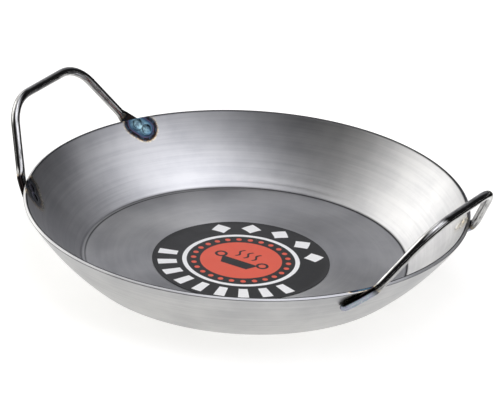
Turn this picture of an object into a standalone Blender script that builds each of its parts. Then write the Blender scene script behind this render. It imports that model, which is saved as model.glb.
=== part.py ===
"""Two-handled serving pan in carbon steel sheet, 28 cm across the rim.

One pressed sheet body, two loop handles bent from round wire whose pressed feet
are spot-welded to the outside of the wall, and a paper label on the pan's floor.
Metres, +Z up.  The origin is the middle of the underside, and the handles lie
along +X and -X.
"""
from math import acos, asin, atan2, cos, hypot, pi, radians, sin, sqrt, tan

import bmesh
import bpy
from mathutils import Matrix, Vector

# Pan body
RIM_RADIUS = 0.140          # outer edge of the rim
RIM_HEIGHT = 0.0411         # underside to the rim's outer corner
HEEL_RADIUS = 0.1035        # where the wall's outer face would meet the ground
SHEET = 0.0025              # sheet thickness, cut off square at the rim
WALL_ARC = 0.180            # radius of the wall's gentle outward bulge, outer face
CREASE_ROUNDING = 0.0015    # inside radius where floor and wall meet
RIM_EASE = 0.0003           # deburred edges of the rim

# Loop handles
WIRE = 0.0055               # wire diameter
BAR_OVERHANG = 0.0138       # rim to the grip bar's centreline, outwards
BAR_LIFT = 0.0398           # rim's outer corner up to the grip bar's centreline
BAR_LENGTH = 0.0708         # between the corners, where bar and leg lines cross
CORNER_BEND = 0.027         # centreline bend radius at the bar's ends
KNEE_BEND = 0.010           # centreline bend radius where leg becomes foot
KNEE_SPACING = 0.11656      # between the handle's two knees, straight across at the rim
KNEE_RISE = 0.0023          # knee above the rim, along the wall's line
HANDLE_SKEW = radians(0.8)  # how far each handle was welded off the X axis

# Pressed feet
FOOT_LENGTH = 0.0242        # knee to tip, along the foot
FOOT_SLOPE = radians(41)    # how steeply a foot runs down the wall
FOOT_THICKNESS = 0.0034
FOOT_WIDTH = 0.0084
PRESS_RAMP = 0.005          # above the knee, where round wire turns into flat foot
TIP_ROUNDING = 0.0042       # length of the rounded tip

# Spot welds, two lens-shaped nuggets in each foot
NUGGET_DIAMETER = 0.0044
NUGGET_THICKNESS = 0.0018
FIRST_WELD = 0.0075         # knee to the first nugget, along the foot
WELD_SPACING = 0.0074

# Paper label
LABEL_RADIUS = 0.0559
LABEL_THICKNESS = 0.0003
LABEL_CENTRE = (0.0013, -0.0060)

CLEARANCE = 0.0003          # gap kept between pieces that touch

# Facets
TURN_STEPS = 96
WALL_STEPS = 7
ROUNDING_STEPS = 3
CORNER_STEPS = 8
KNEE_STEPS = 3
FOOT_STEPS = 6
TIP_STEPS = 5

HANDLES = {"right": -HANDLE_SKEW, "left": pi + HANDLE_SKEW}
FEET = {"front": -1, "back": 1}
WELDS = {"upper": 0, "lower": 1}


def clear_scene():
    """Remove every object, so the script can be run again."""
    for item in list(bpy.data.objects):
        bpy.data.objects.remove(item, do_unlink=True)


def collection(name):
    """Return a new collection, linked to the scene."""
    group = bpy.data.collections.new(name)
    bpy.context.scene.collection.children.link(group)
    return group


def finish(name, colour, metallic, roughness):
    """Return a plain Principled material."""
    material = bpy.data.materials.new(name)
    material.use_nodes = True
    shader = material.node_tree.nodes["Principled BSDF"]
    shader.inputs["Base Color"].default_value = (*colour, 1.0)
    shader.inputs["Metallic"].default_value = metallic
    shader.inputs["Roughness"].default_value = roughness
    return material


def place(name, mesh, group, material=None):
    """Put a mesh into the scene as a named object."""
    item = bpy.data.objects.new(name, mesh)
    group.objects.link(item)
    if material and not mesh.materials:
        mesh.materials.append(material)
    return item


def shade_round(mesh, sharp_from=radians(35)):
    """Shade a round piece smooth, keeping its real edges sharp."""
    mesh.shade_smooth()
    mesh.set_sharp_from_angle(angle=sharp_from)


# The wall, as an arc in the (radius, height) plane

def wall_centre():
    """Return the centre of the wall's arc, inside and above the wall."""
    run = RIM_RADIUS - HEEL_RADIUS
    chord = hypot(run, RIM_HEIGHT)
    reach = sqrt(WALL_ARC ** 2 - chord ** 2 / 4)
    radius = (RIM_RADIUS + HEEL_RADIUS) / 2 - reach * RIM_HEIGHT / chord
    height = RIM_HEIGHT / 2 + reach * run / chord
    return radius, height


def wall_angle_at(height, arc=WALL_ARC):
    """Return the arc's angle where it passes a height; it is below the horizontal."""
    return -acos(sqrt(1 - ((height - wall_centre()[1]) / arc) ** 2))


def arc_point(angle, arc=WALL_ARC):
    """Return (radius, height) on the wall's arc or on one concentric with it."""
    radius, height = wall_centre()
    return radius + arc * cos(angle), height + arc * sin(angle)


def rounding(floor_height, arc, size):
    """Return the points that round the corner between a floor line and a wall arc.

    The points run outwards along the floor and up into the wall.
    """
    radius, height = wall_centre()
    middle_height = floor_height + size
    middle_radius = radius + sqrt((arc - size) ** 2 - (middle_height - height) ** 2)
    end = atan2(middle_height - height, middle_radius - radius)
    points = []
    for step in range(ROUNDING_STEPS + 1):
        angle = -pi / 2 + (end + pi / 2) * step / ROUNDING_STEPS
        points.append((middle_radius + size * cos(angle), middle_height + size * sin(angle)))
    return points, end


def pan_profile():
    """Return the sheet's outline: floor and wall inside, the rim, then outside."""
    inner_arc = WALL_ARC - SHEET
    crease, crease_end = rounding(SHEET, inner_arc, CREASE_ROUNDING)
    heel, heel_end = rounding(0.0, WALL_ARC, CREASE_ROUNDING + SHEET)
    rim = wall_angle_at(RIM_HEIGHT)
    inner_top = rim - RIM_EASE / inner_arc
    outer_top = rim - RIM_EASE / WALL_ARC
    points = [(0.0, SHEET)] + crease
    for step in range(1, WALL_STEPS + 1):
        angle = crease_end + (inner_top - crease_end) * step / WALL_STEPS
        points.append(arc_point(angle, inner_arc))
    points += [arc_point(rim, inner_arc + RIM_EASE), arc_point(rim, WALL_ARC - RIM_EASE)]
    for step in range(WALL_STEPS):
        angle = outer_top + (heel_end - outer_top) * step / WALL_STEPS
        points.append(arc_point(angle))
    return points + heel[::-1] + [(0.0, 0.0)]


def pan_body(group, material, pockets):
    """Turn the pan from its outline and sink the weld pockets into its wall."""
    mesh = bpy.data.meshes.new("pan_body")
    profile = pan_profile()
    edges = [(index, index + 1) for index in range(len(profile) - 1)]
    mesh.from_pydata([(radius, 0.0, height) for radius, height in profile], edges, [])
    pan = place("pan_body", mesh, group, material)
    turn = pan.modifiers.new("turn", "SCREW")
    turn.axis = "Z"
    turn.angle = 2 * pi
    turn.steps = TURN_STEPS
    turn.render_steps = TURN_STEPS
    turn.use_merge_vertices = True
    turn.merge_threshold = 0.00001
    turn.use_smooth_shade = True
    cut = pan.modifiers.new("weld pockets", "BOOLEAN")
    cut.operation = "DIFFERENCE"
    cut.object = pockets
    return pan


# Places on the wall, for a handle that lies along +X

def on_wall(around, down, out):
    """Return a point given round the rim, down the wall from it, and off the wall."""
    angle = wall_angle_at(RIM_HEIGHT) - down / WALL_ARC
    radius, height = arc_point(angle, WALL_ARC + out)
    return Vector((radius * cos(around), radius * sin(around), height))


def wall_normal(around, down):
    """Return the direction straight out of the wall."""
    return (on_wall(around, down, 0.001) - on_wall(around, down, 0.0)).normalized()


def foot_place(along):
    """Return (round the rim, down the wall) of a foot's centreline, on the +Y side."""
    knee = asin(KNEE_SPACING / 2 / RIM_RADIUS)
    around = knee + along * cos(FOOT_SLOPE) / RIM_RADIUS
    return around, along * sin(FOOT_SLOPE) - KNEE_RISE


def foot_point(along):
    """Return a point on a foot's centreline."""
    return on_wall(*foot_place(along), CLEARANCE + FOOT_THICKNESS / 2)


def bend(before, corner, after, radius, steps):
    """Return the arc that rounds the corner between two straight runs."""
    back = (before - corner).normalized()
    ahead = (after - corner).normalized()
    half = back.angle(ahead) / 2
    centre = corner + (back + ahead).normalized() * radius / sin(half)
    start = corner + back * radius / tan(half) - centre
    axis = start.cross(ahead)
    sweep = pi - 2 * half
    return [centre + Matrix.Rotation(sweep * step / steps, 3, axis) @ start
            for step in range(steps + 1)]


def half_centreline():
    """Return the wire's centreline from the middle of the bar to the +Y foot's tip.

    Each item is a point, how much of the wire's radius is left there, and how
    far along the foot it lies, which is negative above the knee.
    """
    reach = RIM_RADIUS + BAR_OVERHANG
    rise = RIM_HEIGHT + BAR_LIFT
    middle = Vector((reach, 0.0, rise))
    corner = Vector((reach, BAR_LENGTH / 2, rise))
    knee = foot_point(0.0)
    points = [middle] + bend(middle, corner, knee, CORNER_BEND, CORNER_STEPS)
    knee_arc = bend(corner, knee, foot_point(KNEE_BEND / 4), KNEE_BEND, KNEE_STEPS)
    leg_top = points[-1]
    leg_end = knee_arc[0]
    ramp_start = leg_end + (leg_top - leg_end).normalized() * PRESS_RAMP
    points += [leg_top.lerp(ramp_start, 0.5)]
    points += [ramp_start.lerp(leg_end, part / 4) for part in range(4)]
    points += knee_arc
    line = [(point, 1.0, -(point - knee).length) for point in points]
    foot_start = (knee_arc[-1] - knee).length
    straight = FOOT_LENGTH - TIP_ROUNDING
    for step in range(1, FOOT_STEPS + 1):
        along = foot_start + (straight - foot_start) * step / FOOT_STEPS
        line.append((foot_point(along), 1.0, along))
    for step in range(1, TIP_STEPS + 1):
        angle = step / TIP_STEPS * radians(72)
        along = straight + TIP_ROUNDING * sin(angle) / sin(radians(72))
        line.append((foot_point(along), cos(angle), along))
    return line


def handle_centreline():
    """Return the whole centreline, from the front foot's tip to the back one's."""
    half = half_centreline()
    mirrored = [(Vector((point.x, -point.y, point.z)), left, along)
                for point, left, along in half[1:]]
    return mirrored[::-1] + half


def pressed_share(along):
    """Return how far the wire is pressed flat: 0 on the leg, 1 on the foot."""
    share = min(max(1 + along / PRESS_RAMP, 0.0), 1.0)
    return share * share * (3 - 2 * share)


def press_feet(mesh, line):
    """Squeeze the wire's ends between flat dies: thinner off the wall, wider along it."""
    spread = FOOT_WIDTH / WIRE
    for vertex in mesh.vertices:
        point, _, along = min(line, key=lambda item: (item[0] - vertex.co).length)
        share = pressed_share(along)
        if share == 0.0:
            continue
        side = 1 if point.y > 0 else -1
        around, down = foot_place(max(along, 0.0))
        normal = wall_normal(around * side, down)
        ahead = foot_point(max(along, 0.0) + 0.001) - foot_point(max(along, 0.0))
        run = Vector((ahead.x, ahead.y * side, ahead.z)).normalized()
        across = normal.cross(run).normalized()
        offset = vertex.co - point
        height = offset.dot(normal)
        width = offset.dot(across)
        squeezed = min(max(height, -FOOT_THICKNESS / 2), FOOT_THICKNESS / 2)
        vertex.co += normal * (squeezed - height) * share
        vertex.co += across * width * (spread - 1) * share


def handle_mesh(group, material):
    """Bend the wire, close its ends, and press its feet."""
    line = handle_centreline()
    curve = bpy.data.curves.new("handle wire", "CURVE")
    curve.dimensions = "3D"
    curve.bevel_depth = WIRE / 2
    curve.bevel_resolution = 4
    curve.use_fill_caps = True
    spline = curve.splines.new("POLY")
    spline.points.add(len(line) - 1)
    for station, (point, left, _) in zip(spline.points, line):
        station.co = (*point, 1.0)
        station.radius = left
    wire = bpy.data.objects.new("handle wire", curve)
    group.objects.link(wire)
    bpy.context.view_layer.update()
    graph = bpy.context.evaluated_depsgraph_get()
    mesh = bpy.data.meshes.new_from_object(wire.evaluated_get(graph))
    bpy.data.objects.remove(wire, do_unlink=True)
    shape = bmesh.new()
    shape.from_mesh(mesh)
    bmesh.ops.remove_doubles(shape, verts=shape.verts, dist=0.00001)
    bmesh.ops.recalc_face_normals(shape, faces=shape.faces)
    shape.to_mesh(mesh)
    shape.free()
    press_feet(mesh, line)
    mesh.materials.clear()
    mesh.materials.append(material)
    shade_round(mesh)
    return mesh


def handles(group, material, pockets):
    """Place both handles, with pockets for the weld nuggets in their feet."""
    mesh = handle_mesh(group, material)
    for side, turn in HANDLES.items():
        handle = place(f"handle_{side}", mesh, group)
        handle.rotation_euler.z = turn
        cut = handle.modifiers.new("weld pockets", "BOOLEAN")
        cut.operation = "DIFFERENCE"
        cut.object = pockets


# Spot welds

def nugget_mesh(name, grow=0.0):
    """Return a lens: a sphere flattened along Z, larger by grow on every side."""
    mesh = bpy.data.meshes.new(name)
    shape = bmesh.new()
    bmesh.ops.create_uvsphere(shape, u_segments=16, v_segments=8, radius=0.5)
    width = NUGGET_DIAMETER + 2 * grow
    bmesh.ops.scale(shape, verts=shape.verts,
                    vec=(width, width, NUGGET_THICKNESS + 2 * grow))
    shape.to_mesh(mesh)
    shape.free()
    mesh.shade_smooth()
    return mesh


def nugget_frames():
    """Yield (name, matrix) for every nugget, Z along the wall's normal.

    A nugget sits half in the wall and half in the foot.
    """
    for handle, turn in HANDLES.items():
        for foot, side in FEET.items():
            for weld, row in WELDS.items():
                around, down = foot_place(FIRST_WELD + row * WELD_SPACING)
                middle = on_wall(around * side, down, CLEARANCE / 2)
                tilt = wall_normal(around * side, down).to_track_quat("Z", "Y")
                frame = Matrix.Translation(middle) @ tilt.to_matrix().to_4x4()
                yield f"weld_{handle}_{foot}_{weld}", Matrix.Rotation(turn, 4, "Z") @ frame


def welds(group, material):
    """Place the weld nuggets."""
    mesh = nugget_mesh("nugget")
    for name, frame in nugget_frames():
        place(name, mesh, group, material).matrix_world = frame


def weld_pockets(group):
    """Make the cutter that leaves room for every nugget."""
    shape = bmesh.new()
    lens = nugget_mesh("pocket", CLEARANCE)
    for _, frame in nugget_frames():
        start = len(shape.verts)
        shape.from_mesh(lens)
        shape.verts.ensure_lookup_table()
        bmesh.ops.transform(shape, matrix=frame, verts=shape.verts[start:])
    mesh = bpy.data.meshes.new("weld pockets")
    shape.to_mesh(mesh)
    shape.free()
    bpy.data.meshes.remove(lens)
    cutter = place("weld pockets", mesh, group)
    cutter.hide_render = True
    cutter.display_type = "WIRE"
    return cutter


def label(group, material):
    """Lay the paper disc on the pan's floor."""
    mesh = bpy.data.meshes.new("label")
    shape = bmesh.new()
    bmesh.ops.create_cone(shape, cap_ends=True, segments=TURN_STEPS,
                          radius1=LABEL_RADIUS, radius2=LABEL_RADIUS,
                          depth=LABEL_THICKNESS)
    shape.to_mesh(mesh)
    shape.free()
    shade_round(mesh)
    disc = place("label", mesh, group, material)
    height = SHEET + CLEARANCE + LABEL_THICKNESS / 2
    disc.location = (*LABEL_CENTRE, height)


def main():
    """Build the pan."""
    clear_scene()
    parts = collection("two-handled steel pan")
    cutters = collection("cutters")
    sheet_steel = finish("sheet steel", (0.36, 0.36, 0.37), 1.0, 0.38)
    drawn_wire = finish("drawn wire", (0.42, 0.41, 0.40), 1.0, 0.25)
    weld_metal = finish("weld metal", (0.14, 0.17, 0.23), 1.0, 0.45)
    label_paper = finish("label paper", (0.02, 0.02, 0.02), 0.0, 0.5)
    pockets = weld_pockets(cutters)
    pan_body(parts, sheet_steel, pockets)
    handles(parts, drawn_wire, pockets)
    welds(parts, weld_metal)
    label(parts, label_paper)


main()
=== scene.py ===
"""Looks of a two-handled serving pan in bare steel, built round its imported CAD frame.

Each sub-assembly is a class that models its piece, and each finish is a frozen dataclass
that builds one procedural material. Lengths are in metres and +Z is up. The label's print
is drawn in millimetres.
"""
import logging
from collections.abc import Callable
from dataclasses import dataclass, field
from enum import Enum
from functools import reduce
from math import asin, atan2, cos, exp, hypot, pi, radians, sin, sqrt, tan

import bpy
from mathutils import Matrix, Vector, noise

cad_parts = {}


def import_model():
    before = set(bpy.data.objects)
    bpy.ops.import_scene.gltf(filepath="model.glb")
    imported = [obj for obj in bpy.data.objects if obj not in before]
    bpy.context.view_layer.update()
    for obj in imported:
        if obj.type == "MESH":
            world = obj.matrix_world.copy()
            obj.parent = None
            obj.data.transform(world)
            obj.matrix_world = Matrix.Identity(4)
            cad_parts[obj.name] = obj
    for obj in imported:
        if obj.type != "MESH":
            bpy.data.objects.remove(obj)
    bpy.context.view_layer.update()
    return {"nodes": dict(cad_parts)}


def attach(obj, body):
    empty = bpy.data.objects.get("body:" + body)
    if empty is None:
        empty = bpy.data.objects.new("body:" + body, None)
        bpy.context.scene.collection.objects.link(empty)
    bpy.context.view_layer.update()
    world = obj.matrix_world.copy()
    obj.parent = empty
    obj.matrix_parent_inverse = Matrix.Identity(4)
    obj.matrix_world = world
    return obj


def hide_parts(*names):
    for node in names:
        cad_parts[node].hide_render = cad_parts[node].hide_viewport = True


LOG = logging.getLogger("serving_pan")
MM = 0.001
HEAT = "burn"
DRAW = "along_wire"
DARKENING_AND_SHADE = "darkening_and_painted_shade"
Colour = tuple[float, float, float]
WHITE: Colour = (1.0, 1.0, 1.0)
UP = Vector((0.0, 0.0, 1.0))
FULL_HEAT = 2.0


class Side(Enum):
    """The two handles, by the end of the X axis they stand at."""

    RIGHT = "right"
    LEFT = "left"


class Foot(Enum):
    """A handle's two feet, by the end of Y they point to before the handle is turned."""

    FRONT = -1
    BACK = 1


# ---------------------------------------------------------------- shader kit


class Signal:
    """A socket's output that takes part in arithmetic, each step of it a Math node."""

    def __init__(self, graph: "Graph", socket: bpy.types.NodeSocket) -> None:
        """Hold an output socket and the graph it lies in."""
        self.graph = graph
        self.socket = socket

    def __add__(self, other: object) -> "Signal":
        """Return the sum."""
        return self.graph.math("ADD", self, other)

    def __sub__(self, other: object) -> "Signal":
        """Return the difference."""
        return self.graph.math("SUBTRACT", self, other)

    def __rsub__(self, other: float) -> "Signal":
        """Return a plain number less this."""
        return self.graph.math("SUBTRACT", other, self)

    def __mul__(self, other: object) -> "Signal":
        """Return the product."""
        return self.graph.math("MULTIPLY", self, other)

    def __truediv__(self, other: object) -> "Signal":
        """Return the quotient."""
        return self.graph.math("DIVIDE", self, other)

    def __abs__(self) -> "Signal":
        """Return the size without its sign."""
        return self.graph.math("ABSOLUTE", self)

    def under(self, limit: float, soft: float = 0.12) -> "Signal":
        """Return 1 where this is under a limit, with a soft edge."""
        return self.graph.remap(self, limit - soft, limit + soft, 1.0, 0.0)


class Graph:
    """A node tree with short calls for adding and linking nodes."""

    def __init__(self, tree: bpy.types.NodeTree) -> None:
        """Take over a node tree."""
        self.tree = tree

    def feed(self, socket: bpy.types.NodeSocket, value: object) -> None:
        """Link a socket to a signal, or set its value.

        Args:
            socket: The input socket.
            value: A signal, a number, a vector or a colour without its alpha.
        """
        if isinstance(value, Signal):
            self.tree.links.new(value.socket, socket)
        else:
            socket.default_value = (*value, 1.0) if socket.type == "RGBA" else value

    def add(self, kind: str, inputs: dict | None = None, output: int | str = 0,
            **settings: object) -> Signal:
        """Add a node, set it up and link what feeds it.

        Args:
            kind: The node type, without its "ShaderNode" prefix.
            inputs: Socket name or index to a value, or to the signal that feeds it.
            output: The output that is wanted, by name or index.
            settings: Attributes of the node.

        Returns:
            The wanted output.
        """
        node = self.tree.nodes.new("ShaderNode" + kind)
        for name, value in settings.items():
            setattr(node, name, value)
        for name, value in (inputs or {}).items():
            self.feed(node.inputs[name], value)
        return Signal(self, node.outputs[output])

    def math(self, operation: str, *values: object, clamp: bool = False) -> Signal:
        """Add a Math node, whose result may be held between 0 and 1."""
        return self.add("Math", dict(enumerate(values)), operation=operation, use_clamp=clamp)

    def most(self, *values: object) -> Signal:
        """Return the greatest of some values."""
        return reduce(lambda first, second: self.math("MAXIMUM", first, second), values)

    def length(self, across: Signal, up: Signal) -> Signal:
        """Return the length of a flat vector."""
        return self.math("SQRT", across * across + up * up)

    def split(self, vector: Signal) -> list[Signal]:
        """Return a vector's three parts."""
        node = self.add("SeparateXYZ", {0: vector}).socket.node
        return [Signal(self, socket) for socket in node.outputs]

    def vector(self, operation: str, *values: object, output: int | str = 0) -> Signal:
        """Add a Vector Math node."""
        return self.add("VectorMath", dict(enumerate(values)), output, operation=operation)

    def remap(self, value: Signal, low: float, high: float, to_low: float = 0.0,
              to_high: float = 1.0) -> Signal:
        """Map a range of a value smoothly onto another range.

        Args:
            value: The signal that is mapped.
            low: Where the source range starts.
            high: Where the source range ends.
            to_low: The result at low.
            to_high: The result at high.

        Returns:
            The mapped value.
        """
        return self.add("MapRange", {"Value": value, "From Min": low, "From Max": high,
                                     "To Min": to_low, "To Max": to_high},
                        "Result", interpolation_type="SMOOTHSTEP")

    def mix(self, share: Signal, first: object, second: object) -> Signal:
        """Mix two colours, with the second showing by a share."""
        return self.add("Mix", {0: share, 6: first, 7: second}, 2, data_type="RGBA",
                        clamp_factor=True)

    def ramp(self, value: Signal, stops: list[tuple[float, Colour]],
             interpolation: str = "EASE") -> Signal:
        """Add a colour ramp.

        Args:
            value: The signal that runs along the ramp.
            stops: Positions and their linear colours.
            interpolation: How colours blend between stops.

        Returns:
            The colour.
        """
        colour = self.add("ValToRGB", {"Fac": value}, "Color")
        band = colour.socket.node.color_ramp
        band.interpolation = interpolation
        while len(band.elements) < len(stops):
            band.elements.new(0.5)
        for element, (place, shade) in zip(band.elements, stops):
            element.position = place
            element.color = (*shade, 1.0)
        return colour

    def noise(self, vector: Signal, scale: float, detail: float = 3.0,
              roughness: float = 0.5) -> Signal:
        """Add a noise texture."""
        return self.add("TexNoise", {"Vector": vector, "Scale": scale, "Detail": detail,
                                     "Roughness": roughness})


class Group(Graph):
    """A node group with named sockets, made once and placed in several finishes."""

    def __init__(self, name: str, inputs: dict[str, float | None], outputs: dict[str, str]) -> None:
        """Make the group with nothing between its sockets.

        Args:
            name: The group's name.
            inputs: Input name to its default, or to None for a vector.
            outputs: Output name to its kind, Float or Color.
        """
        super().__init__(bpy.data.node_groups.new(name, "ShaderNodeTree"))
        for socket, default in inputs.items():
            kind = "NodeSocketVector" if default is None else "NodeSocketFloat"
            made = self.tree.interface.new_socket(socket, in_out="INPUT", socket_type=kind)
            if default is not None:
                made.default_value = default
        for socket, kind in outputs.items():
            self.tree.interface.new_socket(socket, in_out="OUTPUT",
                                           socket_type="NodeSocket" + kind)
        start = self.tree.nodes.new("NodeGroupInput")
        self.end = self.tree.nodes.new("NodeGroupOutput")
        self.given = {socket: Signal(self, start.outputs[socket]) for socket in inputs}

    def put(self, **results: Signal) -> bpy.types.NodeTree:
        """Feed the group's outputs and return the finished group."""
        for socket, value in results.items():
            self.feed(self.end.inputs[socket], value)
        return self.tree


def turned_lines() -> bpy.types.NodeTree:
    """Build the rings that turning leaves: fine lines, broad bands and a height.

    Returns:
        The group.
    """
    slant, fine_share, coarse, band_arc, texture = 0.85, 0.7, 9.0, 0.35, 0.6
    group = Group("turned_lines", {"Vector": None, "Pitch": 0.45, "Arc": 7.0},
                  {"Fine": "Float", "Bands": "Float", "Height": "Float"})
    across, up, rise = group.split(group.given["Vector"])
    radius = group.length(across, up)
    safe = group.most(radius, MM)
    cosine = across / safe
    sine = up / safe
    along = radius + rise * slant

    def rings(pitch: Signal, arc: Signal, detail: float) -> Signal:
        """Return noise drawn out round the axis.

        Args:
            pitch: The lines' spacing in millimetres.
            arc: How often a line changes on its way round.
            detail: The noise's detail.

        Returns:
            The noise.
        """
        vector = group.add("CombineXYZ", {0: along / MM / pitch, 1: cosine * arc, 2: sine * arc})
        return group.noise(vector, 1.0, detail, texture)

    fine = rings(group.given["Pitch"], group.given["Arc"], 3.0)
    bands = rings(group.given["Pitch"] * coarse, group.given["Arc"] * band_arc, 2.0)
    return group.put(Fine=fine, Bands=bands, Height=fine * fine_share + bands * (1 - fine_share))


def heat_tint() -> bpy.types.NodeTree:
    """Build the colours that a spot weld burns into steel, from its middle outwards.

    Heat is 0 at the middle of the patch and 1 at its edge, and the ramp ends a little past it.

    Returns:
        The group.
    """
    past_edge, fine_share, speckle = 1.25, 0.35, (0.030, 0.055, 0.085)
    group = Group("heat_tint", {"Vector": None, "Heat": FULL_HEAT, "Ragged": 0.12},
                  {"Colour": "Color", "Mask": "Float", "Scale": "Float"})
    ragged = group.noise(group.given["Vector"], 160.0) - 0.5
    fine = group.noise(group.given["Vector"], 700.0) - 0.5
    place = group.given["Heat"] + (ragged + fine * fine_share) * group.given["Ragged"]
    colour = group.ramp(group.math("DIVIDE", place, past_edge, clamp=True), [
        (0.00, (0.230, 0.350, 0.380)), (0.25, (0.135, 0.235, 0.285)),
        (0.42, (0.060, 0.120, 0.170)), (0.51, (0.024, 0.044, 0.080)),
        (0.56, (0.080, 0.054, 0.100)), (0.61, (0.010, 0.009, 0.010)),
        (0.76, (0.016, 0.010, 0.008)), (0.80, (0.200, 0.130, 0.080)),
        (0.86, (0.560, 0.490, 0.340)), (1.00, (0.520, 0.510, 0.500))], "LINEAR")
    patchy = group.noise(group.given["Vector"], 420.0, 4.0, 0.65)
    colour = group.mix(group.remap(patchy, 0.44, 0.58, 0.0, 0.62), colour, speckle)
    return group.put(Colour=colour, Mask=group.remap(place, 1.0, 1.22, 1.0, 0.0),
                     Scale=group.remap(place, 0.6, 0.95, 1.0, 0.0))


def handling() -> bpy.types.NodeTree:
    """Build cloudy smudges and scattered fine scratches, as on bare shop steel.

    Returns:
        The group.
    """
    group = Group("handling", {"Vector": None, "Size": 30.0},
                  {"Smudge": "Float", "Scratch": "Float"})
    scaled = group.add("VectorMath", {0: group.given["Vector"], "Scale": group.given["Size"]},
                       operation="SCALE")
    slanted = group.add("Mapping", {"Vector": group.given["Vector"], "Rotation": (0.3, 0.2, 0.7),
                                    "Scale": (40.0, 1100.0, 300.0)})
    scratch = group.noise(slanted, 1.0, 2.0)
    return group.put(Smudge=group.noise(scaled, 1.0, 4.0, 0.55),
                     Scratch=group.remap(scratch, 0.70, 0.76))


class Paint(Graph):
    """A material round one Principled shader."""

    def __init__(self, name: str, **constants: object) -> None:
        """Make the material.

        Args:
            name: The material's name.
            constants: Sockets of the shader that are the same all over, with _ for a space.
        """
        self.material = bpy.data.materials.new(name)
        self.material.use_nodes = True
        super().__init__(self.material.node_tree)
        self.shader = self.tree.nodes["Principled BSDF"]
        self.place = self.add("TexCoord", output="Object")
        self.put(**constants)

    def put(self, **values: object) -> bpy.types.Material:
        """Feed the shader's sockets, named with _ for a space, and return the material."""
        for socket, value in values.items():
            self.feed(self.shader.inputs[socket.replace("_", " ")], value)
        return self.material

    def attribute(self, name: str, output: str = "Fac") -> Signal:
        """Read what a mesh stores at its vertices."""
        return self.add("Attribute", output=output, attribute_name=name)

    def bump(self, height: Signal, strength: float, distance: float) -> Signal:
        """Return the normal of a fine relief."""
        return self.add("Bump", {"Height": height, "Strength": strength, "Distance": distance})

    def effect(self, build: Callable[[], bpy.types.NodeTree], **inputs: object) -> dict[str, Signal]:
        """Place a shared effect on the piece's own coordinates.

        Args:
            build: The function that builds the effect's group, which bears its name.
            inputs: Values or signals for the group's inputs.

        Returns:
            The effect's outputs by name.
        """
        group = bpy.data.node_groups.get(build.__name__) or build()
        node = self.tree.nodes.new("ShaderNodeGroup")
        node.node_tree = group
        for socket, value in {"Vector": self.place, **inputs}.items():
            self.feed(node.inputs[socket], value)
        return {socket.name: Signal(self, socket) for socket in node.outputs}


# ---------------------------------------------------------------- finishes


@dataclass(frozen=True)
class SpunSteel:
    """Bare sheet steel with turning rings, smudges and weld tints, a dark line in the crease, a dark
    floor ring on one side and painted shade on the rim's corners.
    """

    dark: Colour = (0.420, 0.421, 0.430)
    light: Colour = (0.562, 0.561, 0.560)
    # Colour of the darkening mask: crease line, floor ring and painted shade on the rim's corners.
    darkening_and_painted_shade: Colour = (0.014, 0.014, 0.017)
    roughness: float = 0.36
    brushed: float = 0.75
    pitch: float = 0.36
    arc: float = 3.2
    bands: float = 0.58
    contrast: float = 0.8
    cloud: float = 0.85
    scratches: float = 0.35
    rough_lines: float = 0.10
    rough_smudges: float = 0.07
    rough_soil: float = 0.25
    smooth_tint: float = 0.16
    floor_edge: float = 0.1005
    floor_lines: float = 0.55

    def material(self) -> bpy.types.Material:
        """Build the finish.

        Returns:
            The material.
        """
        paint = Paint("spun_steel", Roughness=self.roughness, Metallic=1.0,
                      Anisotropic=self.brushed)
        darkening_and_painted_shade = paint.attribute(DARKENING_AND_SHADE)
        lines = paint.effect(turned_lines, Pitch=self.pitch, Arc=self.arc)
        touch = paint.effect(handling)
        tint = paint.effect(heat_tint, Heat=paint.attribute(HEAT))
        flat = paint.vector("MULTIPLY", paint.place, (1.0, 1.0, 0.0))
        radius = paint.vector("LENGTH", flat, output="Value")
        turned = paint.remap(radius, self.floor_edge - 2 * MM, self.floor_edge + 2 * MM,
                             self.floor_lines, 1.0)
        tone = lines["Fine"] * (1 - self.bands) + lines["Bands"] * self.bands
        tone = (tone - 0.5) * (turned * self.contrast) + (touch["Smudge"] - 0.5) * self.cloud
        steel = paint.mix(paint.remap(tone + 0.5, 0.25, 0.75), self.dark, self.light)
        steel = paint.mix(touch["Scratch"] * self.scratches, steel, self.light)
        # Darkens the crease line and the floor ring, and paints shade on the rim's eased corners.
        steel = paint.mix(darkening_and_painted_shade, steel, self.darkening_and_painted_shade)
        rough = lines["Fine"] * self.rough_lines + (self.roughness - 0.08)
        rough = rough + touch["Smudge"] * self.rough_smudges + darkening_and_painted_shade * self.rough_soil
        return paint.put(
            Base_Color=paint.mix(tint["Mask"], steel, tint["Colour"]),
            Roughness=rough - tint["Mask"] * self.smooth_tint,
            Normal=paint.bump(lines["Height"] * turned, 0.30, 0.06 * MM),
            Tangent=paint.add("Tangent", direction_type="RADIAL", axis="Z"))


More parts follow.
